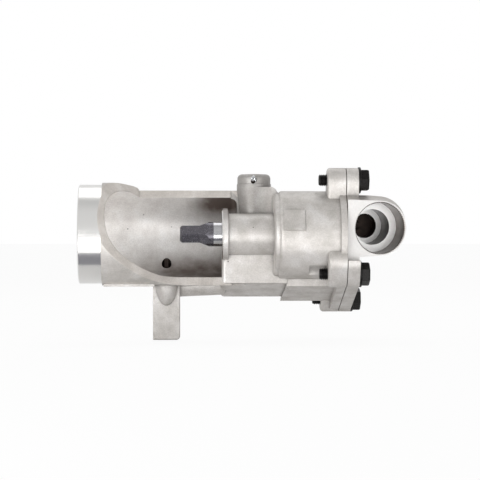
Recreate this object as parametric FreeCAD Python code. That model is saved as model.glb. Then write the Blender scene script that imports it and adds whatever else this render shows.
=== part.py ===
import FreeCAD, Part
import math
import os

# Engine oil pump: gear pair in a cast aluminium housing with an open barrel, an upright relief valve
# and a cover with the inlet port. Millimetres. The origin is the centre of the spigot's end,
# +X runs along the drive shaft to the cover, -Y is the side of the barrel window, +Z is up.

# Clearances
RUNNING = 0.03          # radial, shaft in bush, piston in bore
END_PLAY = 0.05         # gear face to housing face
TIP_PLAY = 0.08         # gear tip to housing wall
LOOSE = 0.3             # bolt shank in the cover's hole
THREAD_PLAY = 0.05      # bolt shank in the body's tapped hole
OVERRUN = 1.0           # how far a cutting tool passes a face

# Spigot and barrel
SPIGOT_R = 32.0
SPIGOT_L = 14.3
SPIGOT_CHAMFER = 0.6    # in front of the origin
BARREL_R = 33.3
BARREL_WALL = 5.3
CAVITY_END_X = 102.0
CAVITY_CORNER_R = 4.0
BULKHEAD_T = 5.0
PAD_HALF_WIDTH = 9.0    # moulded strip along the barrel's underside
PAD_DROP = 0.5
PAD_X = (15.3, 48.0)
SCOOP_GROOVE_R = 3.0    # groove above the strip
SCOOP_GROOVE_YZ = (-12.5, -33.4)
SCOOP_GROOVE_X = (19.0, 43.0)

# Barrel window: at each angle round the barrel (0 faces -Y, 90 is up) the place of the wall's end,
# as outer angle, outer X, inner angle, inner X
WINDOW_EDGE = [
    (-88.0, 86.0, -92.0, 86.0),
    (-84.0, 73.0, -87.0, 72.0),
    (-76.0, 57.0, -78.0, 56.0),
    (-62.0, 45.8, -63.0, 47.0),
    (-34.0, 27.0, -34.0, 30.4),
    (-8.0, 14.2, -8.0, 20.2),
    (18.0, 10.6, 18.0, 16.6),
    (47.0, 12.8, 47.0, 17.6),
    (76.0, 17.2, 76.0, 23.7),
    (104.0, 30.2, 104.0, 32.4),
    (120.5, 37.5, 121.0, 38.5),
]

# Bearing boss
BOSS_R = 13.4
BOSS_FACE_X = 91.6
RING_R = 16.8
RING_T = 3.7
RING_SLOPE = 0.9
NECK_BACK_R = 12.0
BACK_WEB_Z = (-12.0, -6.0)

# Gears
TOOTH_MODULE = 3.25
TEETH = 10
PRESSURE_DEG = 28.0
ADDENDUM = 0.94         # in modules
DEDENDUM = 1.2          # in modules
BACKLASH = 0.12         # taken off each tooth at the pitch circle
FLANK_POINTS = 5
GEAR_LINE_DEG = -17.2   # from +Y, the way from the drive shaft to the idler
GEAR_CENTRES = TOOTH_MODULE * TEETH
POCKET_DEPTH = 28.5      # with the gasket's thickness

# Gear chamber and flange
CHAMBER_X = 128.1
CHAMBER_R = 28.0
CHAMBER_EDGE_R = 2.4
BEAD_L = 2.9            # rounded bead in front of the chamber's left face
BEAD_INSET = 1.6
BEAD_R = 2.0
JOINT_X = 171.0
GASKET_T = 0.5
GASKET_INSET = 0.4
RIM_T = 4.0
RIM_R = 30.0
LUG_T = 12.0
WEB_T = 5.8
COVER_T = 7.8
LUG_EDGE_R = 2.2
SCOOP_R = 6.5

# Cover bolts, Y and Z of each axis, M8 with a flanged hexagon head
BOLT_PLACES = {
    "upper_front": (-11.0, 34.7),
    "lower_front": (-16.0, -25.7),
    "lower_back": (42.0, -43.5),
    "upper_back": (52.6, 14.6),
}
# Lug round each bolt: its radius, then Y, Z and radius of the root it grows from
LUGS = {
    "upper_front": (8.0, -7.0, 18.0, 8.0),
    "lower_front": (8.6, -19.0, -17.5, 9.8),
    "lower_back": (8.5, 38.0, -30.0, 11.0),
    "upper_back": (8.5, 45.0, 7.0, 11.0),
}
WEB_R = 8.0
BOLT_R = 4.0
BOLT_TIP_X = 153.8
HEAD_AF = 13.0
HEAD_H = 7.6
HEAD_FLANGE_R = 8.9
HEAD_FLANGE_T = 1.6
HEAD_TURN_DEG = {"upper_front": 7.0, "lower_front": 25.0, "lower_back": 40.0, "upper_back": 12.0}

# Dowels, place along and across the gear line
DOWEL_PLACES = {"lower": (8.0, -29.3), "upper": (10.0, 29.3)}
DOWEL_R = 3.0
DOWEL_IN_BODY = 4.5
DOWEL_IN_COVER = 4.0

# Drive shaft
SHAFT_R = 8.0
UNGROUND_R = 7.92        # the end that is left black, not ground
JOURNAL_X = 86.2
SHAFT_TIP_X = 64.5
HEX_AF = 11.0
HEX_END_X = 77.2
HEX_RUNOUT = 6.5
HEX_CHAMFER = 1.9
BUSH_WALL = 1.5
BUSH_L = 20.0
BUSH_INSET = 1.5
KEY_W = 4.0
KEY_L = 16.0
SNAP_R = 10.0
SNAP_DEPTH = 0.6
SNAP_T = 1.5
SNAP_SEAT = 2.5

# Idler
IDLER_PIN_R = 6.0
IDLER_BUSH_WALL = 1.5
IDLER_PIN_IN_BODY = 12.0
IDLER_PIN_IN_COVER = 4.5

# Relief valve, standing behind the bearing boss
RELIEF_X = 113.4
RELIEF_Y = 19.0
RELIEF_BOSS_R = 10.9
RELIEF_TOP_Z = 39.5
RELIEF_RIDGE_Z = 33.0
RELIEF_RIDGE = 0.4
RELIEF_EDGE_R = 3.0
FLARE_BACK = 8.5         # from the boss axis to the flare's back face
FLARE_SHOULDER = (2.0, 1.2)
RELIEF_BORE_R = 6.5
RELIEF_SEAT_Z = -8.0
RELIEF_FEED_R = 4.0
RELIEF_OUTLET_R = 3.5
RELIEF_OUTLET_Z = 1.0
PISTON_L = 20.0
PISTON_SEAT = 1.0       # width of the ring that rests on the seat
PISTON_NOSE_L = 2.0
PISTON_HOLLOW_R = 4.9
PISTON_HOLLOW_L = 12.0
SPRING_COIL_R = 3.7
SPRING_WIRE_R = 0.9
SPRING_TURNS = 6
CAP_L = 8.0
PIN_Z = 35.4
PIN_R = 1.5
PIN_EYE_R = 2.0
PIN_WIRE_R = 0.8
PIN_TAIL = 3.0
FLARE_TOP_Z = 31.0
FLARE_END_Z = 26.5

# Oil gallery, leg and the round rib between them. The undersides run parallel to the gear line
GALLERY_R = 3.5
GALLERY_Y = 20.0
GALLERY_Z = -33.2
GALLERY_END_X = 154.0
BLOCK_X = 91.6
BLOCK_FRONT_Y = -1.5
BLOCK_BACK_Y = 30.0
BLOCK_TOP_Z = -12.4
BLOCK_BELOW = 30.75     # underside's distance from the gear line
BLOCK_CORNER_R = 2.6
STRIP_X = 134.0
STRIP_LEAN = 2.6        # how far the strip's left end slopes back to the left at the underside
STRIP_FRONT_Y = -0.5
STRIP_BACK_Y = 34.0
STRIP_BELOW = 32.5
LEG_X = (46.9, 64.7)
LEG_Y = (9.5, 30.5)
LEG_BOTTOM_Z = -69.2
LEG_CORNER_R = 2.6
LEG_EDGE_R = 1.0
RIB_R = (6.6, 6.3)
RIB_DROP = (2.1, 0.4)
GUSSET_R = 7.25
GUSSET_TOP_Z = -31.0
GUSSET_TIP_Z = -46.5
GUSSET_RIB_T = 2.6
GUSSET_RIDGE = 0.7       # how far the ridge stands out
DELIVERY_R = 6.0
DELIVERY_L = 9.0
JET_R = 3.2
PLUG_R = 5.0
PLUG_L = 4.0

# Wedge pad on the chamber
WEDGE_END_X = 144.1
WEDGE_TOP_DEG = 33.0
WEDGE_LOW_DEG = 6.0
WEDGE_RISE = (0.8, 2.0)  # at its upper and its lower edge

# Inlet port on the cover, its axis turned to the right and a little down
PORT_X = 192.7
PORT_FACE_Y = -20.0
PORT_Z = 3.8
PORT_TURN_DEG = 12.0
PORT_DROP_DEG = 3.0
PORT_FACE_R = 17.6
PORT_LEFT_RISE = 1.9
PORT_LEFT_DROP = 0.9
PORT_FLARE = 1.3
PORT_FLARE_DEPTH = 9.0
PORT_DEPTH = 44.0
PORT_CUT_Z = (-20.4, 21.6)  # from the port's axis, the height over which the plate stops at the port's face
PORT_STEPS = [(16.3, 16.5), (11.6, 33.0), (8.1, 41.0)]
PORT_LIP = 0.7
SUCTION_R = 7.0


def V(x, y, z):
    return FreeCAD.Vector(x, y, z)


# Place of a point given along (u) and across (n) the line of the two gears
LINE = math.radians(GEAR_LINE_DEG)


def on_gear_line(u, n):
    return (u * math.cos(LINE) - n * math.sin(LINE), u * math.sin(LINE) + n * math.cos(LINE))


IDLER = on_gear_line(GEAR_CENTRES, 0.0)
COVER_FACE_X = JOINT_X + GASKET_T
DRIVE = (0.0, 0.0)
GEAR_TIP_R = TOOTH_MODULE * (TEETH / 2 + ADDENDUM)
POCKET_R = GEAR_TIP_R + TIP_PLAY
POCKET_X = COVER_FACE_X - POCKET_DEPTH
GEAR_X = (POCKET_X + END_PLAY, COVER_FACE_X - END_PLAY)
CAVITY_R = BARREL_R - BARREL_WALL
COVER_X = COVER_FACE_X + COVER_T
BUSH_R = SHAFT_R + BUSH_WALL
PISTON_TOP_Z = RELIEF_SEAT_Z + PISTON_L
SPRING_FOOT_Z = PISTON_TOP_Z - PISTON_HOLLOW_L
CAP_Z = RELIEF_TOP_Z - 1.0 - CAP_L


# Basic shapes
def cyl_x(r, x0, x1, centre=DRIVE):
    return Part.makeCylinder(r, x1 - x0, V(x0, centre[0], centre[1]), V(1, 0, 0))


def cyl_z(r, z0, z1, x, y):
    return Part.makeCylinder(r, z1 - z0, V(x, y, z0), V(0, 0, 1))


def cone_x(r0, r1, x0, x1, centre=DRIVE):
    return Part.makeCone(r0, r1, x1 - x0, V(x0, centre[0], centre[1]), V(1, 0, 0))


def revolve_x(profile, centre=DRIVE):
    points = [V(x, centre[0], centre[1] + r) for x, r in profile]
    face = Part.Face(Part.makePolygon(points + [points[0]]))
    return face.revolve(V(0, centre[0], centre[1]), V(1, 0, 0), 360)


def prism_x(profile, x0, x1):
    points = [V(x0, y, z) for y, z in profile]
    return Part.Face(Part.makePolygon(points + [points[0]])).extrude(V(x1 - x0, 0, 0))


def prism_y(profile, y0, y1):
    points = [V(x, y0, z) for x, z in profile]
    return Part.Face(Part.makePolygon(points + [points[0]])).extrude(V(0, y1 - y0, 0))


def hull_wire(a, ra, b, rb, point):
    # Outline of two circles and their outer tangents; point(y, z) gives the place in space
    dy = b[0] - a[0]
    dz = b[1] - a[1]
    away = math.atan2(dz, dy)
    lean = math.acos((ra - rb) / math.hypot(dy, dz))

    def at(c, r, angle):
        return point(c[0] + r * math.cos(angle), c[1] + r * math.sin(angle))

    a_low = at(a, ra, away - lean)
    a_high = at(a, ra, away + lean)
    b_low = at(b, rb, away - lean)
    b_high = at(b, rb, away + lean)
    edges = [
        Part.Arc(a_high, at(a, ra, away + math.pi), a_low).toShape(),
        Part.LineSegment(a_low, b_low).toShape(),
        Part.Arc(b_low, at(b, rb, away), b_high).toShape(),
        Part.LineSegment(b_high, a_high).toShape(),
    ]
    return Part.Wire(edges)


def hull_x(a, ra, b, rb, x0, x1):
    wire = hull_wire(a, ra, b, rb, lambda y, z: V(x0, y, z))
    return Part.Face(wire).extrude(V(x1 - x0, 0, 0))


def fuse(shapes):
    return shapes[0].multiFuse(shapes[1:]).removeSplitter()


def cut(shape, tools):
    return shape.cut(tools)


def edges_at_x(shape, x):
    return [e for e in shape.Edges if all(abs(v.Point.x - x) < 1e-4 for v in e.Vertexes)
            and abs(e.CenterOfMass.x - x) < 1e-4]


def round_left(shape, x, r):
    return shape.makeFillet(r, edges_at_x(shape, x))


# Barrel window, lofted through one section for each angle
def window_cutter():
    wires = []
    for outer_deg, outer_x, inner_deg, inner_x in WINDOW_EDGE:
        corners = []
        for depth in (-0.7, 1.7):
            angle = math.radians(outer_deg + (inner_deg - outer_deg) * depth)
            r = BARREL_R - BARREL_WALL * depth
            x = outer_x + (inner_x - outer_x) * depth
            corners.append((x, -r * math.cos(angle), r * math.sin(angle)))
        end_x = CAVITY_END_X + 2 * BULKHEAD_T
        points = [V(*corners[0]), V(*corners[1]), V(end_x, *corners[1][1:]), V(end_x, *corners[0][1:])]
        wires.append(Part.makePolygon(points + [points[0]]))
    return Part.makeLoft(wires, True, False)


def barrel():
    tube = revolve_x([
        (0, 0), (0, SPIGOT_R), (SPIGOT_L, SPIGOT_R), (SPIGOT_L, BARREL_R),
        (CAVITY_END_X + BULKHEAD_T, BARREL_R), (CAVITY_END_X + BULKHEAD_T, 0),
    ])
    nose = cone_x(SPIGOT_R - SPIGOT_CHAMFER, SPIGOT_R, -SPIGOT_CHAMFER, 0)
    underside = prism_x([
        (-PAD_HALF_WIDTH, 0), (-PAD_HALF_WIDTH, -BARREL_R - PAD_DROP),
        (PAD_HALF_WIDTH, -BARREL_R - PAD_DROP), (PAD_HALF_WIDTH, 0),
    ], *PAD_X)
    outer = fuse([tube, nose, underside, leg(), gusset(), rib()])
    bore = cyl_x(CAVITY_R, -SPIGOT_CHAMFER - OVERRUN, CAVITY_END_X)
    bore = bore.makeFillet(CAVITY_CORNER_R, edges_at_x(bore, CAVITY_END_X))
    # The end wall stands only behind the plane through the window's two long edges
    top = math.radians(WINDOW_EDGE[-1][0])
    rail = (-BARREL_R * math.cos(top), BARREL_R * math.sin(top))
    far = 3 * BARREL_R
    in_front = prism_x([
        (0, -far), (0, -BARREL_R - 2 * PAD_DROP), rail, (rail[0], far), (-far, far), (-far, -far),
    ], CAVITY_END_X - CAVITY_CORNER_R, CAVITY_END_X + 2 * BULKHEAD_T)
    groove = cyl_x(SCOOP_GROOVE_R, *SCOOP_GROOVE_X, SCOOP_GROOVE_YZ)
    ends = [Part.makeSphere(SCOOP_GROOVE_R, V(x, *SCOOP_GROOVE_YZ)) for x in SCOOP_GROOVE_X]
    return cut(outer, [bore, window_cutter(), in_front, groove.fuse(ends)])


def leg():
    block = Part.makeBox(LEG_X[1] - LEG_X[0], LEG_Y[1] - LEG_Y[0], -LEG_BOTTOM_Z + GALLERY_Z + RIB_R[0],
                         V(LEG_X[0], LEG_Y[0], LEG_BOTTOM_Z))
    corner = [e for e in block.Edges if abs(e.CenterOfMass.x - LEG_X[1]) < 1e-4
              and abs(e.CenterOfMass.z - LEG_BOTTOM_Z) < 1e-4]
    block = block.makeFillet(LEG_CORNER_R, corner)
    front = [e for e in block.Edges if abs(e.CenterOfMass.y - LEG_Y[0]) < 1e-4
             and e.CenterOfMass.z < GALLERY_Z and e.CenterOfMass.x > LEG_X[0] + 1e-4]
    return block.makeFillet(LEG_EDGE_R, front)


def gusset():
    # Half a long egg on the leg's front face, with a narrow ridge down its middle
    middle_x = (LEG_X[0] + LEG_X[1]) / 2
    height = GUSSET_TOP_Z - GUSSET_TIP_Z
    egg = Part.makeSphere(GUSSET_R, V(0, 0, 0), V(0, 0, 1), -90, 0)
    stretch = FreeCAD.Matrix()
    stretch.scale(1, 1, height / GUSSET_R)
    egg = egg.transformGeometry(stretch)
    egg.translate(V(middle_x, LEG_Y[0], GUSSET_TOP_Z))
    ridge = Part.makePolygon([
        V(middle_x - GUSSET_RIB_T / 2, LEG_Y[0] - GUSSET_R - GUSSET_RIDGE, GUSSET_TOP_Z),
        V(middle_x - GUSSET_RIB_T / 2, LEG_Y[0] + 1, GUSSET_TOP_Z),
        V(middle_x - GUSSET_RIB_T / 2, LEG_Y[0] + 1, GUSSET_TIP_Z),
        V(middle_x - GUSSET_RIB_T / 2, LEG_Y[0] - GUSSET_RIDGE, GUSSET_TIP_Z),
        V(middle_x - GUSSET_RIB_T / 2, LEG_Y[0] - GUSSET_R - GUSSET_RIDGE, GUSSET_TOP_Z),
    ])
    return egg.fuse(Part.Face(ridge).extrude(V(GUSSET_RIB_T, 0, 0)))


def rib():
    start = V(LEG_X[0] + 2, GALLERY_Y, GALLERY_Z - RIB_DROP[0])
    end = V(BLOCK_X + BLOCK_CORNER_R, GALLERY_Y, GALLERY_Z - RIB_DROP[1])
    run = end - start
    return Part.makeCone(RIB_R[0], RIB_R[1], run.Length, start, run)


def bearing_boss():
    return revolve_x([
        (BOSS_FACE_X, 0), (BOSS_FACE_X, RING_R - 0.6), (BOSS_FACE_X + 0.6, RING_R),
        (BOSS_FACE_X + RING_T, RING_R), (BOSS_FACE_X + RING_T + RING_SLOPE, BOSS_R),
        (CHAMBER_X + OVERRUN, BOSS_R), (CHAMBER_X + OVERRUN, 0),
    ])


def relief_boss():
    bottom = GALLERY_Z + GALLERY_R
    upper = cyl_z(RELIEF_BOSS_R, bottom, RELIEF_TOP_Z, RELIEF_X, RELIEF_Y)
    rim = [e for e in upper.Edges if abs(e.CenterOfMass.z - RELIEF_TOP_Z) < 1e-4]
    upper = upper.makeFillet(RELIEF_EDGE_R, rim)
    lower = cyl_z(RELIEF_BOSS_R + RELIEF_RIDGE, bottom, RELIEF_RIDGE_Z, RELIEF_X, RELIEF_Y)
    shoulder_x = RELIEF_X + RELIEF_BOSS_R + RELIEF_RIDGE
    flare = prism_y([
        (RELIEF_X, bottom), (RELIEF_X, FLARE_TOP_Z), (shoulder_x, FLARE_TOP_Z),
        (shoulder_x + FLARE_SHOULDER[0], FLARE_TOP_Z - FLARE_SHOULDER[1]),
        (CHAMBER_X + OVERRUN, FLARE_END_Z), (CHAMBER_X + OVERRUN, bottom),
    ], RELIEF_Y - RELIEF_BOSS_R - RELIEF_RIDGE, RELIEF_Y + FLARE_BACK)
    return upper.fuse([lower, flare])


def underside_z(y, below):
    return (-below - y * math.sin(-LINE)) / math.cos(LINE)


def gallery_block():
    block = prism_x([
        (BLOCK_FRONT_Y, BLOCK_TOP_Z), (BLOCK_FRONT_Y, underside_z(BLOCK_FRONT_Y, BLOCK_BELOW)),
        (BLOCK_BACK_Y, underside_z(BLOCK_BACK_Y, BLOCK_BELOW)), (BLOCK_BACK_Y, BLOCK_TOP_Z),
    ], BLOCK_X, STRIP_X)
    left = edges_at_x(block, BLOCK_X)
    left = [e for e in left if e.CenterOfMass.y < BLOCK_BACK_Y - 1]
    left = [e for e in left if e.CenterOfMass.z < BLOCK_TOP_Z - 1]
    block = block.makeFillet(BLOCK_CORNER_R, left)
    strip = prism_x([
        (STRIP_FRONT_Y, BLOCK_TOP_Z), (STRIP_FRONT_Y, underside_z(STRIP_FRONT_Y, STRIP_BELOW)),
        (STRIP_BACK_Y, underside_z(STRIP_BACK_Y, STRIP_BELOW)), (STRIP_BACK_Y, BLOCK_TOP_Z),
    ], STRIP_X - STRIP_LEAN, JOINT_X - WEB_T)
    lowest = underside_z(STRIP_BACK_Y, STRIP_BELOW)
    corner_z = underside_z(STRIP_FRONT_Y, BLOCK_BELOW)
    slant = prism_y([
        (STRIP_X - 2 * STRIP_LEAN, BLOCK_TOP_Z + 1), (STRIP_X, BLOCK_TOP_Z + 1), (STRIP_X, corner_z),
        (STRIP_X - STRIP_LEAN, lowest - 1), (STRIP_X - 2 * STRIP_LEAN, lowest - 1),
    ], STRIP_FRONT_Y - 1, STRIP_BACK_Y + 1)
    strip = strip.cut(slant)
    return [block, strip]


def chamber():
    main = round_left(hull_x(DRIVE, CHAMBER_R, IDLER, CHAMBER_R, CHAMBER_X, JOINT_X), CHAMBER_X, CHAMBER_EDGE_R)
    bead = hull_x(DRIVE, CHAMBER_R - BEAD_INSET, IDLER, CHAMBER_R - BEAD_INSET,
                  CHAMBER_X - BEAD_L, CHAMBER_X + CHAMBER_EDGE_R)
    bead = round_left(bead, CHAMBER_X - BEAD_L, BEAD_R)
    rim = hull_x(DRIVE, RIM_R, IDLER, RIM_R, JOINT_X - RIM_T, JOINT_X)
    neck = hull_x(DRIVE, BOSS_R, (RELIEF_Y, 0.0), NECK_BACK_R, CAVITY_END_X, CHAMBER_X)
    web = Part.makePolygon([
        V(CAVITY_END_X, RELIEF_Y, BACK_WEB_Z[0]), V(CAVITY_END_X, BARREL_R - 1, BACK_WEB_Z[0]),
        V(CHAMBER_X, IDLER[0] + CHAMBER_R / 2, BACK_WEB_Z[0]), V(CHAMBER_X, RELIEF_Y, BACK_WEB_Z[0]),
        V(CAVITY_END_X, RELIEF_Y, BACK_WEB_Z[0]),
    ])
    web = Part.Face(web).extrude(V(0, 0, BACK_WEB_Z[1] - BACK_WEB_Z[0]))
    return [main, bead, rim, neck, web]


def wedge_pad():
    def on_chamber(deg, rise):
        angle = math.radians(deg)
        return (-(CHAMBER_R + rise) * math.cos(angle), (CHAMBER_R + rise) * math.sin(angle))

    inner = CHAMBER_R / 2
    return prism_x([
        on_chamber(WEDGE_TOP_DEG, -1), on_chamber(WEDGE_TOP_DEG, WEDGE_RISE[0]),
        on_chamber(WEDGE_LOW_DEG, WEDGE_RISE[1]),
        on_chamber(WEDGE_LOW_DEG - 2, 0), (-inner, 0), (-inner, inner / 2),
    ], CHAMBER_X + CHAMBER_EDGE_R, WEDGE_END_X)


def lugs(x0, x1, inset=0.0):
    shapes = []
    for name, (r, root_y, root_z, root_r) in LUGS.items():
        shapes.append(hull_x((root_y, root_z), root_r - inset, BOLT_PLACES[name], r - inset, x0, x1))
    return shapes


def webs(x0, x1, inset=0.0):
    r = WEB_R - inset
    return [
        hull_x(BOLT_PLACES["lower_front"], r, BOLT_PLACES["lower_back"], r, x0, x1),
        hull_x(BOLT_PLACES["upper_front"], r, BOLT_PLACES["upper_back"], r, x0, x1),
    ]


def body_flange():
    shapes = [round_left(s, JOINT_X - LUG_T, LUG_EDGE_R) for s in lugs(JOINT_X - LUG_T, JOINT_X)]
    return shapes + webs(JOINT_X - WEB_T, JOINT_X)


def gear_pocket(r, x0, x1):
    return [cyl_x(r, x0, x1), cyl_x(r, x0, x1, IDLER)]


def body_bores():
    passages = [
        # Shaft bore, idler pin hole and the pocket of the two gears
        cyl_x(BUSH_R, BOSS_FACE_X - OVERRUN, POCKET_X + OVERRUN),
        cyl_x(IDLER_PIN_R, POCKET_X - IDLER_PIN_IN_BODY, POCKET_X + OVERRUN, IDLER),
        # Relief valve: feed, bore and outlet into the barrel
        cyl_z(RELIEF_FEED_R, GALLERY_Z, RELIEF_SEAT_Z + OVERRUN, RELIEF_X, RELIEF_Y),
        cyl_z(RELIEF_BORE_R, RELIEF_SEAT_Z, RELIEF_TOP_Z + OVERRUN, RELIEF_X, RELIEF_Y),
        Part.makeCylinder(RELIEF_OUTLET_R, RELIEF_X - CAVITY_END_X + CAVITY_CORNER_R,
                          V(CAVITY_END_X - CAVITY_CORNER_R, RELIEF_Y, RELIEF_OUTLET_Z), V(1, 0, 0)),
        Part.makeCylinder(PIN_R, 2 * RELIEF_BOSS_R + 2 * OVERRUN,
                          V(RELIEF_X, RELIEF_Y - RELIEF_BOSS_R - OVERRUN, PIN_Z), V(0, 1, 0)),
        # Oil gallery from the leg to the chamber, delivery hole in the leg and the jet into the barrel
        cyl_x(GALLERY_R, LEG_X[0] + PLUG_L, GALLERY_END_X, (GALLERY_Y, GALLERY_Z)),
        cyl_x(PLUG_R, LEG_X[0] - OVERRUN, LEG_X[0] + PLUG_L, (GALLERY_Y, GALLERY_Z)),
        cyl_z(GALLERY_R, LEG_BOTTOM_Z, GALLERY_Z, sum(LEG_X) / 2, GALLERY_Y),
        cyl_z(DELIVERY_R, LEG_BOTTOM_Z - OVERRUN, LEG_BOTTOM_Z + DELIVERY_L, sum(LEG_X) / 2, GALLERY_Y),
        cyl_z(JET_R, GALLERY_Z, -CAVITY_R / 2, sum(LEG_X) / 2, GALLERY_Y),
        cyl_z(GALLERY_R, GALLERY_Z, IDLER[1] - GEAR_TIP_R / 3, GALLERY_END_X - GALLERY_R, GEAR_CENTRES / 2),
    ]
    return passages + gear_pocket(POCKET_R, POCKET_X, JOINT_X + OVERRUN)


def flange_holes(r, x0, x1):
    return [cyl_x(r, x0, x1, place) for place in BOLT_PLACES.values()]


def dowel_holes(x0, x1):
    return [cyl_x(DOWEL_R, x0, x1, on_gear_line(*place)) for place in DOWEL_PLACES.values()]


def pump_body():
    shapes = [barrel(), bearing_boss(), relief_boss(), wedge_pad()]
    body = fuse(shapes + gallery_block() + chamber() + body_flange())
    # Scoops round the bolt ends that stand out of the lugs
    scoops = flange_holes(SCOOP_R, BOLT_TIP_X - SCOOP_R, JOINT_X - LUG_T)
    holes = flange_holes(BOLT_R + THREAD_PLAY, JOINT_X - LUG_T - OVERRUN, JOINT_X + OVERRUN)
    dowels = dowel_holes(JOINT_X - DOWEL_IN_BODY, JOINT_X + OVERRUN)
    return cut(body, body_bores() + scoops + holes + dowels)


# Inlet port, modelled with its axis along -Y and turned into place
def place_port(shape):
    turn = FreeCAD.Rotation(V(0, 0, 1), PORT_TURN_DEG)
    drop = FreeCAD.Rotation(V(1, 0, 0), PORT_DROP_DEG)
    placed = shape.copy()
    placed.Placement = FreeCAD.Placement(V(PORT_X, PORT_FACE_Y, PORT_Z), turn.multiply(drop))
    return placed


def port_outline(y, shift, grow):
    r = PORT_FACE_R + grow
    left = PORT_X - JOINT_X + PORT_FACE_R
    return hull_wire((-left, shift - PORT_LEFT_DROP), r + PORT_LEFT_RISE, (shift, shift), r, lambda x, z: V(x, y, z))


def port_block():
    front = Part.makeLoft([port_outline(0, 0, 0), port_outline(PORT_FLARE_DEPTH, PORT_FLARE, PORT_FLARE)], True, True)
    back = Part.Face(port_outline(PORT_FLARE_DEPTH, PORT_FLARE, PORT_FLARE))
    back = back.extrude(V(0, PORT_DEPTH - PORT_FLARE_DEPTH, 0))
    rear = [e for e in back.Edges if abs(e.CenterOfMass.y - PORT_DEPTH) < 1e-4]
    back = back.makeFillet(PORT_FLARE_DEPTH, rear)
    return place_port(front.fuse(back))


def port_bores():
    tools = []
    for r, depth in PORT_STEPS:
        tools.append(Part.makeCylinder(r, depth + OVERRUN, V(0, -OVERRUN, 0), V(0, 1, 0)))
    mouth_r = PORT_STEPS[0][0]
    tools.append(Part.makeCone(mouth_r + PORT_LIP + OVERRUN, mouth_r, PORT_LIP + OVERRUN,
                               V(0, -OVERRUN, 0), V(0, 1, 0)))
    return [place_port(tool) for tool in tools]


def flange_plate(x0, x1, inset=0.0):
    plate = hull_x(DRIVE, RIM_R - inset, IDLER, RIM_R - inset, x0, x1)
    return fuse([plate] + lugs(x0, x1, inset) + webs(x0, x1, inset))


def port_front():
    # Everything in front of the port's machined face, between the two front lugs
    depth = 2 * RIM_R
    front = Part.makeBox(depth, depth, PORT_CUT_Z[1] - PORT_CUT_Z[0], V(-depth / 2, -depth, PORT_CUT_Z[0]))
    return place_port(front)


def pump_cover():
    flange = flange_plate(COVER_FACE_X, COVER_X).cut(port_front())
    behind = Part.makeBox(4 * BARREL_R, 8 * BARREL_R, 8 * BARREL_R,
                          V(COVER_FACE_X - 4 * BARREL_R, -4 * BARREL_R, -4 * BARREL_R))
    block = port_block().cut(behind)
    cover = fuse([flange, block])
    end = PORT_STEPS[-1][1] - SUCTION_R
    port_end = place_port(Part.Vertex(0, end, 0)).Point
    suction = Part.makeCylinder(SUCTION_R, port_end.x - COVER_FACE_X + OVERRUN,
                                V(COVER_FACE_X - OVERRUN, port_end.y, port_end.z), V(1, 0, 0))
    idler_hole = cyl_x(IDLER_PIN_R + RUNNING, COVER_FACE_X - OVERRUN, COVER_FACE_X + IDLER_PIN_IN_COVER + LOOSE, IDLER)
    head_room = flange_holes(HEAD_FLANGE_R + LOOSE, COVER_X, COVER_X + HEAD_H + OVERRUN)
    holes = flange_holes(BOLT_R + LOOSE, COVER_FACE_X - OVERRUN, COVER_X + OVERRUN)
    dowels = dowel_holes(COVER_FACE_X - OVERRUN, COVER_FACE_X + DOWEL_IN_COVER)
    return cut(cover, port_bores() + [suction, idler_hole] + head_room + holes + dowels)


def cover_gasket():
    sheet = flange_plate(JOINT_X, COVER_FACE_X, GASKET_INSET).cut(port_front())
    x0 = JOINT_X - OVERRUN
    x1 = COVER_FACE_X + OVERRUN
    return cut(sheet, gear_pocket(POCKET_R, x0, x1) + flange_holes(BOLT_R + LOOSE, x0, x1) + dowel_holes(x0, x1))


# Gears: involute flanks between the root and tip circles
def involute_angle(r, base_r):
    roll = math.sqrt(max((r / base_r) ** 2 - 1, 0.0))
    return roll - math.atan(roll)


def gear_blank(centre, start_deg):
    pitch_r = TOOTH_MODULE * TEETH / 2
    base_r = pitch_r * math.cos(math.radians(PRESSURE_DEG))
    root_r = pitch_r - DEDENDUM * TOOTH_MODULE
    half_tooth = (math.pi * TOOTH_MODULE / 2 - BACKLASH) / (2 * pitch_r)
    half_base = half_tooth + involute_angle(pitch_r, base_r)

    def at(r, angle):
        return V(GEAR_X[0], centre[0] + r * math.cos(angle), centre[1] + r * math.sin(angle))

    radii = [base_r + (GEAR_TIP_R - base_r) * i / (FLANK_POINTS - 1) for i in range(FLANK_POINTS)]
    edges = []
    for tooth in range(TEETH):
        middle = math.radians(start_deg) + 2 * math.pi * tooth / TEETH
        following = middle + 2 * math.pi / TEETH
        rise = [at(r, middle - half_base + involute_angle(r, base_r)) for r in radii]
        fall = [at(r, middle + half_base - involute_angle(r, base_r)) for r in reversed(radii)]
        edges.append(Part.LineSegment(at(root_r, middle - half_base), rise[0]).toShape())
        for points in (rise, fall):
            curve = Part.BSplineCurve()
            curve.interpolate(points)
            edges.append(curve.toShape())
            if points is rise:
                edges.append(Part.Arc(rise[-1], at(GEAR_TIP_R, middle), fall[0]).toShape())
        edges.append(Part.LineSegment(fall[-1], at(root_r, middle + half_base)).toShape())
        edges.append(Part.Arc(at(root_r, middle + half_base), at(root_r, middle + math.pi / TEETH),
                              at(root_r, following - half_base)).toShape())
    face = Part.Face(Part.Wire(Part.__sortEdges__(edges)))
    return face.extrude(V(GEAR_X[1] - GEAR_X[0], 0, 0))


def key_box():
    middle = (GEAR_X[0] + GEAR_X[1]) / 2
    return Part.makeBox(KEY_L, KEY_W, KEY_W, V(middle - KEY_L / 2, -KEY_W / 2, SHAFT_R - KEY_W / 2))


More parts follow.
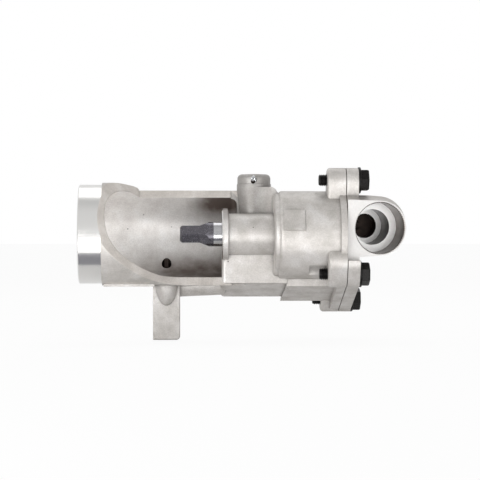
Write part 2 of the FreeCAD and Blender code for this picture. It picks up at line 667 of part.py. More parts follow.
def snap_ring():
    x0 = GEAR_X[1] - SNAP_SEAT
    ring = cyl_x(SNAP_R, x0, x0 + SNAP_T).cut(cyl_x(SHAFT_R - SNAP_DEPTH, x0 - OVERRUN, x0 + SNAP_T + OVERRUN))
    gap = Part.makeBox(SNAP_T + 2 * OVERRUN, KEY_W, SNAP_R + OVERRUN, V(x0 - OVERRUN, -KEY_W / 2, -SNAP_R - OVERRUN))
    return ring.cut(gap)


def drive_gear():
    seat = cyl_x(SNAP_R + LOOSE, GEAR_X[1] - SNAP_SEAT, GEAR_X[1] + OVERRUN)
    bore = cyl_x(SHAFT_R, GEAR_X[0] - OVERRUN, GEAR_X[1] + OVERRUN)
    return cut(gear_blank(DRIVE, GEAR_LINE_DEG), [bore, key_box(), seat])


def idler_gear():
    bore = cyl_x(IDLER_PIN_R + IDLER_BUSH_WALL, GEAR_X[0] - OVERRUN, GEAR_X[1] + OVERRUN, IDLER)
    return cut(gear_blank(IDLER, GEAR_LINE_DEG + 180.0 + 180.0 / TEETH), [bore])


def drive_shaft():
    round_bar = fuse([cyl_x(UNGROUND_R, SHAFT_TIP_X, JOURNAL_X), cyl_x(SHAFT_R, JOURNAL_X, GEAR_X[1])])
    # The hexagon is milled from the round bar, with flats above and below and a sloping run-out
    across = HEX_AF / 2
    outside = 2 * SHAFT_R
    tools = []
    for side in range(6):
        flat = prism_y([
            (SHAFT_TIP_X - OVERRUN, across), (HEX_END_X, across), (HEX_END_X + HEX_RUNOUT, SHAFT_R),
            (HEX_END_X + HEX_RUNOUT, outside), (SHAFT_TIP_X - OVERRUN, outside),
        ], -outside, outside)
        flat.rotate(V(0, 0, 0), V(1, 0, 0), 60 * side)
        tools.append(flat)
    corner_r = HEX_AF / math.sqrt(3)
    sleeve = cyl_x(outside, SHAFT_TIP_X - OVERRUN, SHAFT_TIP_X + HEX_CHAMFER)
    tip = cone_x(corner_r - HEX_CHAMFER - OVERRUN, corner_r, SHAFT_TIP_X - OVERRUN, SHAFT_TIP_X + HEX_CHAMFER)
    tools.append(sleeve.cut(tip))
    tools.append(key_box())
    groove_x = GEAR_X[1] - SNAP_SEAT
    groove = cyl_x(outside, groove_x, groove_x + SNAP_T).cut(cyl_x(SHAFT_R - SNAP_DEPTH, groove_x, groove_x + SNAP_T))
    tools.append(groove)
    return cut(round_bar, tools)


def bush(r_out, r_in, x0, length, centre=DRIVE):
    return cyl_x(r_out, x0, x0 + length, centre).cut(cyl_x(r_in, x0 - OVERRUN, x0 + length + OVERRUN, centre))


def idler_shaft():
    return cyl_x(IDLER_PIN_R, POCKET_X - IDLER_PIN_IN_BODY, COVER_FACE_X + IDLER_PIN_IN_COVER, IDLER)


def idler_bush():
    # Pressed in the idler gear and running on its pin
    return bush(IDLER_PIN_R + IDLER_BUSH_WALL, IDLER_PIN_R + RUNNING, GEAR_X[0], GEAR_X[1] - GEAR_X[0], IDLER)


# Relief valve pieces
def relief_piston():
    nose_r = RELIEF_FEED_R + PISTON_SEAT
    nose_top = RELIEF_SEAT_Z + PISTON_NOSE_L
    nose = Part.makeCone(nose_r, RELIEF_BORE_R - RUNNING, PISTON_NOSE_L, V(RELIEF_X, RELIEF_Y, RELIEF_SEAT_Z))
    skirt = cyl_z(RELIEF_BORE_R - RUNNING, nose_top, PISTON_TOP_Z, RELIEF_X, RELIEF_Y)
    hollow = cyl_z(PISTON_HOLLOW_R, SPRING_FOOT_Z, PISTON_TOP_Z + OVERRUN, RELIEF_X, RELIEF_Y)
    return nose.fuse(skirt).removeSplitter().cut(hollow)


def relief_spring():
    height = CAP_Z - SPRING_FOOT_Z - 2 * SPRING_WIRE_R
    path = Part.makeHelix(height / SPRING_TURNS, height, SPRING_COIL_R)
    section = Part.Wire(Part.makeCircle(SPRING_WIRE_R, V(SPRING_COIL_R, 0, 0), V(0, 1, 0)))
    coil = Part.Wire(path.Edges).makePipeShell([section], True, True)
    coil.translate(V(RELIEF_X, RELIEF_Y, SPRING_FOOT_Z + SPRING_WIRE_R))
    return coil


def relief_cap():
    cap = cyl_z(RELIEF_BORE_R - RUNNING, CAP_Z, CAP_Z + CAP_L, RELIEF_X, RELIEF_Y)
    cross = Part.makeCylinder(PIN_R + RUNNING, 4 * RELIEF_BORE_R, V(RELIEF_X, RELIEF_Y - 2 * RELIEF_BORE_R, PIN_Z),
                              V(0, 1, 0))
    return cap.cut(cross)


def split_pin():
    front_y = RELIEF_Y - RELIEF_BOSS_R
    shank = Part.makeCylinder(PIN_R - RUNNING, 2 * RELIEF_BOSS_R + PIN_TAIL, V(RELIEF_X, front_y - PIN_WIRE_R, PIN_Z),
                              V(0, 1, 0))
    eye = Part.makeTorus(PIN_EYE_R, PIN_WIRE_R, V(RELIEF_X, front_y - PIN_EYE_R + PIN_WIRE_R / 2, PIN_Z), V(1, 0, 0))
    reach = PIN_EYE_R + 2 * PIN_WIRE_R
    clear = cyl_z(RELIEF_BOSS_R + RUNNING, PIN_Z - reach, PIN_Z + reach, RELIEF_X, RELIEF_Y)
    return shank.fuse(eye.cut(clear)).removeSplitter()


def gallery_plug():
    return cyl_x(PLUG_R, LEG_X[0], LEG_X[0] + PLUG_L, (GALLERY_Y, GALLERY_Z))


def cover_bolt(place, turn_deg):
    shank = cyl_x(BOLT_R, BOLT_TIP_X + 0.8, COVER_X, place)
    tip = cone_x(BOLT_R - 0.8, BOLT_R, BOLT_TIP_X, BOLT_TIP_X + 0.8, place)
    flange = cone_x(HEAD_FLANGE_R, HEAD_FLANGE_R - 0.5, COVER_X, COVER_X + HEAD_FLANGE_T, place)
    corner_r = HEAD_AF / math.sqrt(3)
    corners = []
    for side in range(6):
        angle = math.radians(turn_deg + 60 * side)
        corners.append((place[0] + corner_r * math.cos(angle), place[1] + corner_r * math.sin(angle)))
    hexagon = prism_x(corners, COVER_X + HEAD_FLANGE_T / 2, COVER_X + HEAD_H)
    crown = revolve_x([
        (COVER_X, 0), (COVER_X, corner_r + 1), (COVER_X + HEAD_H - 1.6, corner_r + 1),
        (COVER_X + HEAD_H, corner_r - 1.2), (COVER_X + HEAD_H, 0),
    ], place)
    return fuse([shank, tip, flange, hexagon.common(crown)])


def dowel(place):
    return cyl_x(DOWEL_R, JOINT_X - DOWEL_IN_BODY, COVER_FACE_X + DOWEL_IN_COVER, on_gear_line(*place))


def build():
    parts = {
        "pump_body": pump_body(),
        "pump_cover": pump_cover(),
        "cover_gasket": cover_gasket(),
        "front_bush": bush(BUSH_R, SHAFT_R + RUNNING, BOSS_FACE_X + BUSH_INSET, BUSH_L),
        "rear_bush": bush(BUSH_R, SHAFT_R + RUNNING, POCKET_X - BUSH_L, BUSH_L),
        "drive_shaft": drive_shaft(),
        "drive_gear": drive_gear(),
        "gear_key": key_box(),
        "gear_snap_ring": snap_ring(),
        "idler_gear": idler_gear(),
        "idler_bush": idler_bush(),
        "idler_shaft": idler_shaft(),
        "relief_piston": relief_piston(),
        "relief_spring": relief_spring(),
        "relief_cap": relief_cap(),
        "split_pin": split_pin(),
        "gallery_plug": gallery_plug(),
    }
    for name, place in BOLT_PLACES.items():
        parts["cover_bolt_" + name] = cover_bolt(place, HEAD_TURN_DEG[name])
    for name, place in DOWEL_PLACES.items():
        parts["dowel_pin_" + name] = dowel(place)
    return parts


os.makedirs("parts", exist_ok=True)
for node, shape in build().items():
    shape.exportStep("parts/" + node + ".step")
    print(node, len(shape.Solids), round(shape.Volume, 1), shape.isValid())
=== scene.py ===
import math

import bpy
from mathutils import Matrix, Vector


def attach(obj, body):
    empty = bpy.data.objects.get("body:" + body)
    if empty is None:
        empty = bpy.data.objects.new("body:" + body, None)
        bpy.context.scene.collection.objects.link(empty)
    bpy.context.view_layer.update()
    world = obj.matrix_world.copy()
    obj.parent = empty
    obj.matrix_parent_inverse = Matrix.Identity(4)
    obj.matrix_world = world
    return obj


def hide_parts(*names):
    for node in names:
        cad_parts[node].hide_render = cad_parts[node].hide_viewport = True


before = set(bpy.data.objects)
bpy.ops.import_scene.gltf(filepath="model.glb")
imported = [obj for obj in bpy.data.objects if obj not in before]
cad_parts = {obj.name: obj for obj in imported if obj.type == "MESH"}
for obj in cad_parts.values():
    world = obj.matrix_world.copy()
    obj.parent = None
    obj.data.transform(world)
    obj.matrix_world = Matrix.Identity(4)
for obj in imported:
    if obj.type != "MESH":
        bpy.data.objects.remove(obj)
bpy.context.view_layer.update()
bpy.ops.object.select_all(action="DESELECT")
bpy.context.scene.view_settings.view_transform = "Standard"

MM = 0.001

# Places on the pump that the finishes follow, in millimetres along the shaft and out from it. A reach is a
# little more than the size of its shape and takes in the shape's edges
SPIGOT_END = 14.3
SPIGOT_RADIUS = 32.0
SPIGOT_SKIN = 0.5
CAVITY_RADIUS = 28.0
BARREL_REACH = 33.6
JET_PLACE = (55.8, 20.0)
JET_REACH = 3.3
CAVITY_END = 102.0
GROUND_START = 86.2
BEARING_FACE = 91.6
BEARING_FACE_REACH = 0.7
BEARING_RING_RADIUS = 16.8
PORT_MOUTH = Vector((192.7, -20.0, 3.8))
PORT_TURN = math.radians(12.0)
PORT_DROP = math.radians(3.0)
PORT_BORE_REACH = 16.7
PORT_STEP_DEPTHS = (16.5, 33.0, 41.0)
PASSAGE_REACH = 12.0
WINDOW_BACK_Y = 19.0

# How near a corner is to a place to count as on it
CLOSE = 0.05

# Cover bolts, M8: where their ends, the lug's face and the cover's face stand
BOLT_END = 153.8
LUG_FACE = 159.0
COVER_FACE = 179.3
SHANK_RADIUS = 3.95
THREAD_CORE_RADIUS = 3.3
THREAD_PITCH = 1.25
THREAD_HEIGHT = 0.55
THREAD_RUN_IN = 0.9
END_CHAMFER = 0.5
OVERLAP = 0.1
HEAD_HEIGHT = 6.9
HEAD_CROWN = 1.1
HEAD_CORNER_RADIUS = 13.0 / math.sqrt(3)
FLANGE_RADIUS = 8.5
FLANGE_THICK = 1.6
# Y and Z of each bolt, and how many degrees its head is turned about X
BOLT_PLACES = {
    "upper_front": (-11.0, 34.7, -2.0),
    "lower_front": (-16.0, -25.7, -25.0),
    "lower_back": (42.0, -43.5, -40.0),
    "upper_back": (52.6, 14.6, -12.0),
}

# Split pin through the relief boss, with its eye, its hole shown by a black cup of painted shade, and its
# bent legs
PIN_PLACE = Vector((113.4, 8.1, 35.4))
PIN_LENGTH = 24.8
PIN_RADIUS = 1.3
PIN_WIRE_RADIUS = 0.75
PIN_EYE_RADIUS = 1.2
PIN_EYE_OFFSET = Vector((-0.9, -0.9, 1.0))
PIN_EYE_TURN = math.radians(40.0)
PIN_LEG_IN = 0.8
PIN_LEG_OUT = 1.6
PIN_LEG_ROOT = 0.6
PIN_LEG_SPREAD = 3.2
PIN_HOLE_RADIUS = 2.1
PIN_HOLE_DEEP = 0.9
PIN_HOLE_OFFSET = Vector((-1.0, 0.1, -0.8))
PIN_HOLE_RIM = 0.3
PIN_HOLE_SUNK = 0.6

# Camera of the photograph: a long lens, level, almost square to the shaft
CAMERA_AIM = Vector((103.5, 0.0, -3.8)) * MM
CAMERA_DISTANCE = 1170.0 * MM
CAMERA_TURN = math.radians(2.2)
FOCAL_MM = 135.0
SENSOR_MM = 36.0

# Floor, and the grey card that lies on it, a painted shadow that only reflections show
FLOOR_HEIGHT = -70.0 * MM
CARD_RISE = 1.0 * MM
CARD_MIDDLE_Y = -62.5 * MM
CARD_DEPTH = 51.0 * MM

# Where the dark film in the barrel sets in and where it is full. The pool lies low and far from the spigot,
# oil staining with painted shade. The patch high up by the rail's far end is painted shade under the rail
OIL_AND_SHADE_LOW = (-9.0 * MM, -24.0 * MM)
OIL_AND_SHADE_FAR = (32.0 * MM, 70.0 * MM)
RAIL_SHADE_HIGH = (8.0 * MM, 18.0 * MM)
RAIL_SHADE_ALONG = (68.0 * MM, 84.0 * MM)

# Painted light along the barrel: its wall is coloured lightest up to the first place, as if lit through the
# open spigot end, and as dull as elsewhere from the second
SPIGOT_LIGHT_SPAN = (20.0 * MM, 62.0 * MM)

# Painted shade takes this share of the tone round the relief boss, dimming its lit side. It fades out between
# these distances from the boss's axis, and sets in between these heights
BOSS_AXIS = Vector((113.4, 19.0, 0.0)) * MM
BOSS_SHADE_SHARE = 0.34
BOSS_SHADE_REACH = (11.5 * MM, 16.0 * MM)
BOSS_SHADE_HEIGHT = (2.0 * MM, 14.0 * MM)

# Sizes of what the finishes show. The blasted grain is really about 0.3 mm and is drawn twice as coarse, so
# that it shows
BLAST_GRAIN = 0.667 * MM
GRAIN_DEPTH = 0.1 * MM
STAIN_SIZE = 11.11 * MM
PORE_SPACING = 11.76 * MM
PORE_DEPTH = 0.3 * MM
CORNER_SHADE_REACH = 3.0 * MM
OIL_CLOUD = 9.09 * MM
TOOL_RING = 0.192 * MM
CAST_EDGE = 0.5 * MM
WORKED_EDGE = 0.3 * MM

# Edges flatter than this are smoothed
SMOOTH_ANGLE = math.radians(32.0)


def linear(code):
    """An sRGB hex colour as the linear values that a shader socket takes."""
    channels = [int(code[i:i + 2], 16) / 255 for i in (1, 3, 5)]
    return tuple(c / 12.92 if c <= 0.04045 else ((c + 0.055) / 1.055) ** 2.4 for c in channels) + (1.0,)


# Material building
def new_material(name):
    material = bpy.data.materials.new(name)
    material.use_nodes = True
    material.node_tree.nodes.clear()
    return material


def add_node(tree, kind, values=(), stops=None, **settings):
    """Adds a node with its settings and links.

    Values fill its input sockets, by name or in their order. Each is a constant, another node's output, or
    another node, which stands for its first output. Stops are a colour ramp's places and colours.
    """
    node = tree.nodes.new(kind)
    for key, value in settings.items():
        setattr(node, key, value)
    for key, value in values.items() if isinstance(values, dict) else enumerate(values):
        if isinstance(value, bpy.types.Node):
            value = value.outputs[0]
        if isinstance(value, bpy.types.NodeSocket):
            tree.links.new(value, node.inputs[key])
        else:
            node.inputs[key].default_value = value
    if stops:
        elements = node.color_ramp.elements
        for place in list(stops)[1:-1]:
            elements.new(place)
        for element, (place, code) in zip(elements, stops.items()):
            element.position = place
            element.color = linear(code)
    return node


def oil_and_painted_shade(tree, place):
    """Oil staining with painted shade along the barrel's bottom away from the spigot, and painted shade up
    under the rail's end.
    """
    axes = add_node(tree, "ShaderNodeSeparateXYZ", {"Vector": place})
    cloud = add_node(tree, "ShaderNodeTexNoise", {
        "Vector": place, "Scale": 1 / OIL_CLOUD, "Detail": 4.0, "Roughness": 0.55,
    })
    ragged = add_node(tree, "ShaderNodeMapRange", (cloud, 0.3, 0.7, -0.22, 0.22))
    low = add_node(tree, "ShaderNodeMapRange", (axes.outputs["Z"], *OIL_AND_SHADE_LOW, 0.0, 1.0))
    far = add_node(tree, "ShaderNodeMapRange", (axes.outputs["X"], *OIL_AND_SHADE_FAR, 0.25, 1.0))
    high = add_node(tree, "ShaderNodeMapRange", (axes.outputs["Z"], *RAIL_SHADE_HIGH, 0.0, 1.0))
    at_rail = add_node(tree, "ShaderNodeMapRange", (axes.outputs["X"], *RAIL_SHADE_ALONG, 0.0, 1.0))
    pool = add_node(tree, "ShaderNodeMath", (low, far), operation="MULTIPLY")
    rail_shade = add_node(tree, "ShaderNodeMath", (high, at_rail), operation="MULTIPLY")
    thick = add_node(tree, "ShaderNodeMath", (pool, rail_shade), operation="MAXIMUM")
    return add_node(tree, "ShaderNodeMath", (thick, ragged, thick), operation="MULTIPLY_ADD", use_clamp=True)


def boss_painted_shade(tree, place):
    """Painted shade on and round the relief boss: how much of the skin's own tone is left there."""
    axes = add_node(tree, "ShaderNodeSeparateXYZ", {"Vector": place})
    across = add_node(tree, "ShaderNodeCombineXYZ", {"X": axes.outputs["X"], "Y": axes.outputs["Y"]})
    away = add_node(tree, "ShaderNodeVectorMath", (across, BOSS_AXIS), operation="DISTANCE")
    near = add_node(tree, "ShaderNodeMapRange", (away.outputs["Value"], *BOSS_SHADE_REACH, BOSS_SHADE_SHARE, 0.0))
    high = add_node(tree, "ShaderNodeMapRange", (axes.outputs["Z"], *BOSS_SHADE_HEIGHT, 0.0, 1.0))
    taken = add_node(tree, "ShaderNodeMath", (near, high), operation="MULTIPLY")
    return add_node(tree, "ShaderNodeMath", (1.0, taken), operation="SUBTRACT")


# Cast aluminium: a pale, dull skin with blasted grain, faint stains, a few dark pores, soft edges, and
# painted shade in its corners
def cast_skin(name, tones, rough_low, rough_high, metallic, grain_strength, oil_and_painted_light=False, boss_shaded=False):
    material = new_material(name)
    tree = material.node_tree
    place = add_node(tree, "ShaderNodeTexCoord").outputs["Object"]
    grain = add_node(tree, "ShaderNodeTexNoise", {
        "Vector": place, "Scale": 1 / BLAST_GRAIN, "Detail": 3.0, "Roughness": 0.6,
    })
    stain = add_node(tree, "ShaderNodeTexNoise", {
        "Vector": place, "Scale": 1 / STAIN_SIZE, "Detail": 6.0, "Roughness": 0.6,
    })
    tone = add_node(tree, "ShaderNodeValToRGB", (stain,), dict(zip((0.34, 0.52, 0.66), tones)))
    speck = add_node(tree, "ShaderNodeMapRange", (grain, 0.35, 0.65, 0.86, 1.05))
    # Painted shade: ambient occlusion darkens the tone in corners and creases
    corner = add_node(tree, "ShaderNodeAmbientOcclusion", {
        "Distance": CORNER_SHADE_REACH,
    }, samples=8, only_local=True).outputs["AO"]
    painted_light_and_shade = add_node(tree, "ShaderNodeMapRange", (corner, 0.35, 0.85, 0.58, 1.0))
    # Painted light: inside the barrel the tone is lighter towards the open spigot end
    if oil_and_painted_light:
        along = add_node(tree, "ShaderNodeSeparateXYZ", {"Vector": place}).outputs["X"]
        bright = add_node(tree, "ShaderNodeMapRange", (along, *SPIGOT_LIGHT_SPAN, 1.35, 1.0))
        painted_light_and_shade = add_node(tree, "ShaderNodeMath", (painted_light_and_shade, bright), operation="MULTIPLY")
    # Painted shade dims the relief boss
    if boss_shaded:
        painted_light_and_shade = add_node(tree, "ShaderNodeMath", (painted_light_and_shade, boss_painted_shade(tree, place)), operation="MULTIPLY")
    shade = add_node(tree, "ShaderNodeMath", (speck, painted_light_and_shade), operation="MULTIPLY")
    colour = add_node(tree, "ShaderNodeVectorMath", {0: tone, "Scale": shade}, operation="SCALE")
    pores = add_node(tree, "ShaderNodeTexVoronoi", {
        "Vector": place, "Scale": 1 / PORE_SPACING, "Randomness": 1.0,
    })
    in_pore = add_node(tree, "ShaderNodeMapRange", (pores, 0.025, 0.045, 1.0, 0.0))
    # A Mix node takes its two colours at sockets 6 and 7 and gives the mixed one at 2
    pored = add_node(tree, "ShaderNodeMix", {
        "Factor": in_pore, 6: colour, 7: linear("#4A4541"),
    }, data_type="RGBA").outputs[2]
    # Oil staining with painted shade low in the barrel, and painted shade under the rail's far end
    if oil_and_painted_light:
        pored = add_node(tree, "ShaderNodeMix", {
            "Factor": oil_and_painted_shade(tree, place), 6: pored, 7: linear("#5C514B"),
        }, data_type="RGBA").outputs[2]
    rough = add_node(tree, "ShaderNodeMapRange", (stain, 0.3, 0.7, rough_high, rough_low))
    edges = add_node(tree, "ShaderNodeBevel", {"Radius": CAST_EDGE}, samples=4)
    pitted = add_node(tree, "ShaderNodeBump", {
        "Height": in_pore, "Strength": 0.6, "Distance": PORE_DEPTH, "Normal": edges,
    }, invert=True)
    blasted = add_node(tree, "ShaderNodeBump", {
        "Height": grain, "Strength": grain_strength, "Distance": GRAIN_DEPTH, "Normal": pitted,
    })
    skin = add_node(tree, "ShaderNodeBsdfPrincipled", {
        "Base Color": pored, "Metallic": metallic, "Roughness": rough, "Normal": blasted,
    })
    add_node(tree, "ShaderNodeOutputMaterial", {"Surface": skin})
    return material


# Turned aluminium: bright, almost a mirror, with fine tool rings that run round the shaft's axis
def turned_aluminium():
    material = new_material("turned_aluminium")
    tree = material.node_tree
    place = add_node(tree, "ShaderNodeTexCoord").outputs["Object"]
    along = add_node(tree, "ShaderNodeSeparateXYZ", {"Vector": place}).outputs["X"]
    feed = add_node(tree, "ShaderNodeMath", (along, TOOL_RING), operation="DIVIDE")
    rings = add_node(tree, "ShaderNodeTexNoise", {
        "W": feed, "Scale": 1.0, "Detail": 4.0,
    }, noise_dimensions="1D")
    tone = add_node(tree, "ShaderNodeValToRGB", (rings,), {0.3: "#E6E5E3", 0.7: "#F2F1EF"})
    rough = add_node(tree, "ShaderNodeMapRange", (rings, 0.3, 0.7, 0.14, 0.24))
    skin = add_node(tree, "ShaderNodeBsdfPrincipled", {
        "Base Color": tone, "Metallic": 1.0, "Roughness": rough,
    })
    add_node(tree, "ShaderNodeOutputMaterial", {"Surface": skin})
    return material


# Machined and plain surfaces: one tone that varies a little between dark and light marks, and a roughness
# that follows them. Spread is how far from its middle the noise reaches both tones. Edge is how far corners
# are rounded, to catch the light
def worked_surface(
    name, dark, light, roughness, metallic, mark_mm, spread=0.15, detail=4.0, edge=WORKED_EDGE,
):
    material = new_material(name)
    tree = material.node_tree
    place = add_node(tree, "ShaderNodeTexCoord").outputs["Object"]
    marks = add_node(tree, "ShaderNodeTexNoise", {
        "Vector": place, "Scale": 1 / (mark_mm * MM), "Detail": detail,
    })
    low, high = 0.5 - spread, 0.5 + spread
    tone = add_node(tree, "ShaderNodeValToRGB", (marks,), {low: dark, high: light})
    rough = add_node(tree, "ShaderNodeMapRange", (marks, low, high, *roughness))
    values = {"Base Color": tone, "Metallic": metallic, "Roughness": rough}
    if edge:
        values["Normal"] = add_node(tree, "ShaderNodeBevel", {"Radius": edge}, samples=4)
    skin = add_node(tree, "ShaderNodeBsdfPrincipled", values)
    add_node(tree, "ShaderNodeOutputMaterial", {"Surface": skin})
    return material


# The castings: grainy outside, smoother inside the barrel, and dull where the window is cut through its wall
CAST_TONES = ("#B7B3AE", "#C6C2BE", "#D1CECB")
CORED_TONES = ("#C4C0BD", "#D1CECB", "#DAD8D6")
WALL_TONES = ("#C0BAB4", "#CCC6C0", "#D6D1CC")
CAST = cast_skin("shot_blasted_cast_aluminium", CAST_TONES, 0.42, 0.52, 0.45, 0.45, boss_shaded=True)
CORED = cast_skin("as_cast_cavity_aluminium", CORED_TONES, 0.34, 0.44, 0.4, 0.22, oil_and_painted_light=True)
CUT_WALL = cast_skin("trimmed_wall_aluminium", WALL_TONES, 0.50, 0.60, 0.3, 0.45)

# Their machined places: bright collar and bearing face, pale matt mouth of the port, its satin ledges, paler
# than the mouth as painted light, and its bored steps, oil brown at the mouth and darker to black the deeper
# they lie, as painted shade
TURNED = turned_aluminium()
MILLED = worked_surface(
    "milled_aluminium", "#D4D2D0", "#DCDAD8", (0.59, 0.61), 0.1, 1.11, spread=0.2, detail=3.0, edge=None,
)
# Painted light: the ledges take a paler copy of the milled tone, so they show lit inside the bore
LIT_LEDGE = worked_surface(
    "milled_port_ledge_painted_light", "#F3F2F0", "#F8F7F6", (0.37, 0.39), 0.5, 1.11, spread=0.2, detail=3.0, edge=None,
)
OILED_SHADED_BORE, SHADED_SECOND_BORE, SHADED_DEEP_BORE = [
    worked_surface(name, dark, light, (0.3, 0.3), 0.85, 3.33, spread=0.2, edge=None)
    for name, dark, light in (
        ("oiled_bore_painted_shade", "#372E27", "#4C4139"),
        ("second_bore_painted_shade", "#19120E", "#261D17"),
        ("deep_bore_painted_shade", "#17110E", "#241C18"),
    )
]

# Steel: the shaft's end dark and smooth from hardening, its journal ground bright, gears satin, springs grey
HARDENED = worked_surface("hardened_dark_steel", "#605E64", "#716F75", (0.20, 0.28), 0.85, 1.11)
GROUND = worked_surface("ground_steel", "#BEBEC0", "#C6C6C8", (0.14, 0.18), 1.0, 1.11)
GEAR_STEEL = worked_surface("gear_steel", "#77777A", "#96969A", (0.25, 0.38), 1.0, 2.0)
SPRING = worked_surface("drawn_spring_steel", "#4A4B4F", "#6A6B70", (0.28, 0.40), 1.0, 2.0)

# Bolts black with oily phosphate, a bright zinc pin, brown bronze bushes and a matt, dark gasket
PHOSPHATE = worked_surface("oiled_black_phosphate_steel", "#121111", "#201E1D", (0.26, 0.40), 0.7, 0.667)
ZINC = worked_surface("bright_zinc_plate", "#B9BBBE", "#DADCDE", (0.18, 0.30), 1.0, 1.43)
BRONZE = worked_surface("turned_bronze", "#8A6636", "#B08A52", (0.25, 0.38), 1.0, 1.67)
FIBRE = worked_surface("pressed_gasket_fibre", "#3A3632", "#4C4742", (0.75, 0.90), 0.0, 0.4)


# Which finish each face of a CAD node takes
def faces_take(mesh, materials, chooser):
    """Fills the mesh's slots; chooser picks each face's material from its corners in mm and its normal."""
    mesh.materials.clear()
    for material in materials:
        mesh.materials.append(material)
    for face in mesh.polygons:
        corners = [mesh.vertices[i].co / MM for i in face.vertices]
        face.material_index = materials.index(chooser(corners, face.normal))


def middle_of(corners):
    return sum(corners, Vector()) / len(corners)


def body_finish(corners, normal):
    centre = middle_of(corners)
    reaches = [math.hypot(p.y, p.z) for p in corners]
    right_end = max(p.x for p in corners)
    on_collar = right_end < SPIGOT_END + CLOSE and min(reaches) > SPIGOT_RADIUS - SPIGOT_SKIN
    on_collar = on_collar and max(reaches) < SPIGOT_RADIUS + CLOSE
    at_bearing_face = abs(centre.x - BEARING_FACE) < BEARING_FACE_REACH
    on_bearing_face = at_bearing_face and max(reaches) < BEARING_RING_RADIUS
    if on_collar or right_end < CLOSE or on_bearing_face:
        return TURNED
    # Painted shade: the jet hole's wall takes the near-black deep bore tone
    from_jet = max(abs(centre.x - JET_PLACE[0]), abs(centre.y - JET_PLACE[1]))
    if from_jet < JET_REACH and abs(normal.z) < 0.05 and centre.z < 0:
        return SHADED_DEEP_BORE
    if max(reaches) < CAVITY_RADIUS + CLOSE and right_end < CAVITY_END + CLOSE:
        return CORED
    in_wall = min(reaches) > CAVITY_RADIUS - CLOSE and max(reaches) < BARREL_REACH
    outward = Vector((0.0, centre.y, centre.z)).normalized().dot(normal)
    if in_wall and centre.x < CAVITY_END and abs(outward) < 0.95 and centre.y < WINDOW_BACK_Y:
        return CUT_WALL
    return CAST


# The port's axis, out of its mouth
PORT_OUT = Vector((
    math.sin(PORT_TURN) * math.cos(PORT_DROP),
    -math.cos(PORT_TURN) * math.cos(PORT_DROP),
    -math.sin(PORT_DROP),
))


def cover_finish(corners, normal):
    from_mouth = middle_of(corners) - PORT_MOUTH
    depth = -from_mouth.dot(PORT_OUT)
    off_axis = (from_mouth + PORT_OUT * depth).length
    facing_out = normal.dot(PORT_OUT)
    first_step, second_step, bottom = PORT_STEP_DEPTHS
    if abs(depth) < CLOSE:
        return MILLED
    if off_axis > PORT_BORE_REACH or depth < 0:
        return CAST
    # Painted shade: the deeper steps and the passage beyond take near-black tones
    if depth > bottom + CLOSE:
        in_passage = off_axis < PASSAGE_REACH and normal.x < 0.5 and facing_out > -0.5
        return SHADED_DEEP_BORE if in_passage else CAST
    if facing_out > 0.9:
        return LIT_LEDGE if depth < bottom - CLOSE else SHADED_DEEP_BORE
    if depth < first_step:
        return OILED_SHADED_BORE
    return SHADED_SECOND_BORE if depth < second_step else SHADED_DEEP_BORE


def shaft_finish(corners, normal):
    on_journal = min(p.x for p in corners) > GROUND_START - CLOSE and normal.x > -0.9
    return GROUND if on_journal else HARDENED


BODY_FINISHES = [CAST, TURNED, CORED, CUT_WALL, SHADED_DEEP_BORE]
COVER_FINISHES = [CAST, MILLED, OILED_SHADED_BORE, SHADED_SECOND_BORE, SHADED_DEEP_BORE, LIT_LEDGE]
faces_take(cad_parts["pump_body"].data, BODY_FINISHES, body_finish)
faces_take(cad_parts["pump_cover"].data, COVER_FINISHES, cover_finish)
faces_take(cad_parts["drive_shaft"].data, [HARDENED, GROUND], shaft_finish)
PLAIN_FINISHES = {
    "front_bush": BRONZE, "rear_bush": BRONZE, "idler_bush": BRONZE, "drive_gear": GEAR_STEEL,
    "idler_gear": GEAR_STEEL, "gear_key": GEAR_STEEL, "gear_snap_ring": SPRING, "idler_shaft": GROUND,
    "relief_piston": GROUND, "relief_spring": SPRING, "relief_cap": GEAR_STEEL,
    "gallery_plug": GEAR_STEEL, "dowel_pin_lower": GROUND, "dowel_pin_upper": GROUND,
    "cover_gasket": FIBRE,
}
for node_name, finish in PLAIN_FINISHES.items():
    faces_take(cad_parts[node_name].data, [finish], lambda corners, normal: finish)


# Pieces modelled here in place of plainer CAD ones
def finish_piece(piece, name, material, replaced):
    """Names a new piece, gives it its material and lets it stand for a CAD node of the housing."""
    piece.name = name
    piece.data.materials.clear()
    piece.data.materials.append(material)
    bpy.ops.object.select_all(action="DESELECT")
    piece.select_set(True)
    bpy.context.view_layer.objects.active = piece
    bpy.ops.object.transform_apply(location=True, rotation=True, scale=True)
    bpy.ops.object.shade_smooth_by_angle(angle=SMOOTH_ANGLE)
    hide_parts(replaced)
    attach(piece, "housing")
    bpy.ops.object.select_all(action="DESELECT")


def rod_along_x(radius, start, end, corners):
    """A round or six-sided rod on the shaft's axis between two places in mm, as the active object."""
    bpy.ops.mesh.primitive_cylinder_add(
        vertices=corners, radius=radius * MM, depth=(end - start) * MM,
        location=((start + end) / 2 * MM, 0.0, 0.0), rotation=(0.0, math.radians(90.0), 0.0),
    )
    bpy.ops.object.transform_apply(location=True, rotation=True, scale=True)
    return bpy.context.object


def round_end(rod, x, width, segments=2):
    """Bevels the edges of a rod's end face at x."""
    for vertex in rod.data.vertices:
        vertex.select = abs(vertex.co.x / MM - x) < 0.01
    for edge in rod.data.edges:
        edge.select = all(rod.data.vertices[i].select for i in edge.vertices)
    for face in rod.data.polygons:
        face.select = all(rod.data.vertices[i].select for i in face.vertices)
    bpy.ops.object.mode_set(mode="EDIT")
    bpy.ops.mesh.bevel(offset=width * MM, segments=segments, affect="EDGES")
    bpy.ops.object.mode_set(mode="OBJECT")


